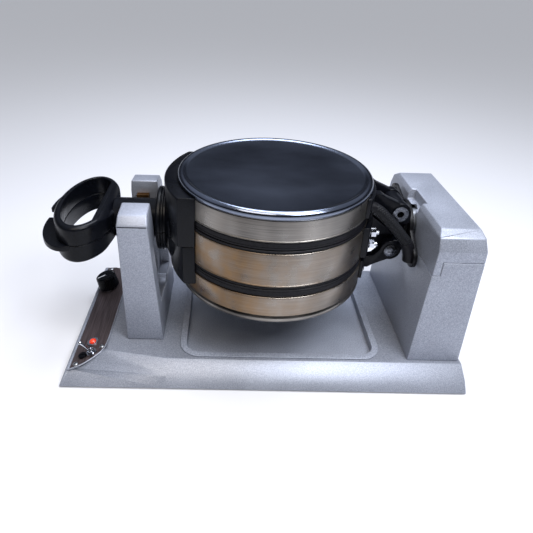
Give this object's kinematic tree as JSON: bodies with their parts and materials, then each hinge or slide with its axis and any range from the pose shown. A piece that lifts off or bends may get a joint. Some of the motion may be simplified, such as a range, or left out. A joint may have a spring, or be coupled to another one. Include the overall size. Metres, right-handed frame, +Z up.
{
  "type": "waffle cone maker",
  "caption": "Countertop rotary waffle cone maker: a two-chamber round baking drum with hinged lids turns between a front fork and a rear tower on a low base with a control panel.",
  "frame": {"origin": "centre of the bounding box in plan, at the height of the bench that the feet stand on", "axes": "+X from the handle towards the rear tower along the drum's spin axis, +Y from the operator's side across the machine, +Z up"},
  "size_m": [0.4724, 0.227, 0.212],
  "materials": {
    "silver_paint": "speckled silver hammer paint on die castings",
    "steel_brushed": "brushed stainless, heat tinted",
    "steel_polished": "polished stainless",
    "steel_plain": "zinc plated steel",
    "panel_metal": "bronze-grey anodised plate",
    "black_plastic": "moulded phenolic, satin black",
    "black_rubber": "heat resistant, black",
    "black_paint": "black enamel",
    "bright_chrome": "plated",
    "red_lens": "clear red",
    "white_mark": "white inlay",
    "bronze": "sintered bronze",
    "cast_alu": "cast, seasoned",
    "board_green": "circuit board",
    "ceramic_white": "ceramic wool board",
    "sleeve": "braided sleeve over leads"
  },
  "bodies": {
    "base": {"base_housing": "silver_paint", "bottom_cover": "steel_plain", "rubber_feet": "black_rubber", "front_fork": "silver_paint", "fork_pads": "bronze", "control_panel": "panel_metal", "panel_screws": "steel_plain", "indicator_bezel": "bright_chrome", "indicator_lens": "red_lens", "toggle_switch": "bright_chrome", "toggle_nut": "bright_chrome", "fuse_holder": "black_plastic", "heat_control": "steel_plain", "tower_housing": "silver_paint", "tower_cover": "silver_paint", "cover_screws": "steel_plain", "bearing_block": "cast_alu", "bearing_bush": "bronze", "control_board": "board_green", "terminal_block": "ceramic_white", "cord_gland": "black_rubber"},
    "drum": {"centre_ring": "steel_brushed", "lip_rings": "black_rubber", "centre_core": "cast_alu", "fixed_plates": "cast_alu", "fixed_heaters": "steel_plain", "rear_yoke": "black_plastic", "hinge_pins": "bright_chrome", "yoke_nuts": "bright_chrome", "hub_flange": "black_paint", "journal": "steel_plain", "journal_collar": "steel_plain", "top_cable": "sleeve", "bottom_cable": "sleeve"},
    "top_lid": {"top_lid_wall": "steel_brushed", "top_lid_cap": "steel_polished", "top_heat_ring": "black_rubber", "top_lid_plate": "cast_alu", "top_lid_heater": "steel_plain", "top_lid_lining": "ceramic_white", "top_front_bracket": "black_plastic", "top_front_neck": "black_plastic", "top_handle": "black_plastic", "top_hinge_arms": "black_plastic", "top_lid_screws": "bright_chrome"},
    "bottom_lid": {"bottom_lid_wall": "steel_brushed", "bottom_lid_cap": "steel_polished", "bottom_heat_ring": "black_rubber", "bottom_lid_plate": "cast_alu", "bottom_lid_heater": "steel_plain", "bottom_lid_lining": "ceramic_white", "bottom_front_bracket": "black_plastic", "bottom_front_neck": "black_plastic", "bottom_handle": "black_plastic", "bottom_hinge_arms": "black_plastic", "bottom_lid_screws": "bright_chrome"},
    "knob": {"heat_knob": "black_plastic", "knob_pointer": "white_mark"},
    "toggle": {"toggle_lever": "bright_chrome"},
    "tray": {"drip_tray": "silver_paint"}
  },
  "joints": [
    {"name": "drum_spin", "type": "hinge", "parent": "base", "child": "drum", "pos_m": [0.01425, 0, 0.149], "axis": [1, 0, 0], "range_deg": [0, 180]},
    {"name": "top_lid_hinge", "type": "hinge", "parent": "drum", "child": "top_lid", "pos_m": [0.14925, 0, 0.174], "axis": [0, -1, 0], "range_deg": [-95, 0], "deforming": ["top_cable"]},
    {"name": "bottom_lid_hinge", "type": "hinge", "parent": "drum", "child": "bottom_lid", "pos_m": [0.14925, 0, 0.124], "axis": [0, -1, 0], "range_deg": [0, 10], "deforming": ["bottom_cable"]},
    {"name": "heat_knob_turn", "type": "hinge", "parent": "base", "child": "knob", "pos_m": [-0.19075, 0.048, 0.01616], "axis": [-0.2364, 0, 0.9717], "range_deg": [-270, 0]},
    {"name": "toggle_flip", "type": "hinge", "parent": "base", "child": "toggle", "pos_m": [-0.18363, -0.079, 0.01954], "axis": [0, 1, 0], "range_deg": [0, 50]},
    {"name": "tray_lift", "type": "slide", "parent": "base", "child": "tray", "axis": [0, 0, 1], "range_m": [0, 0.012]}
  ]
}
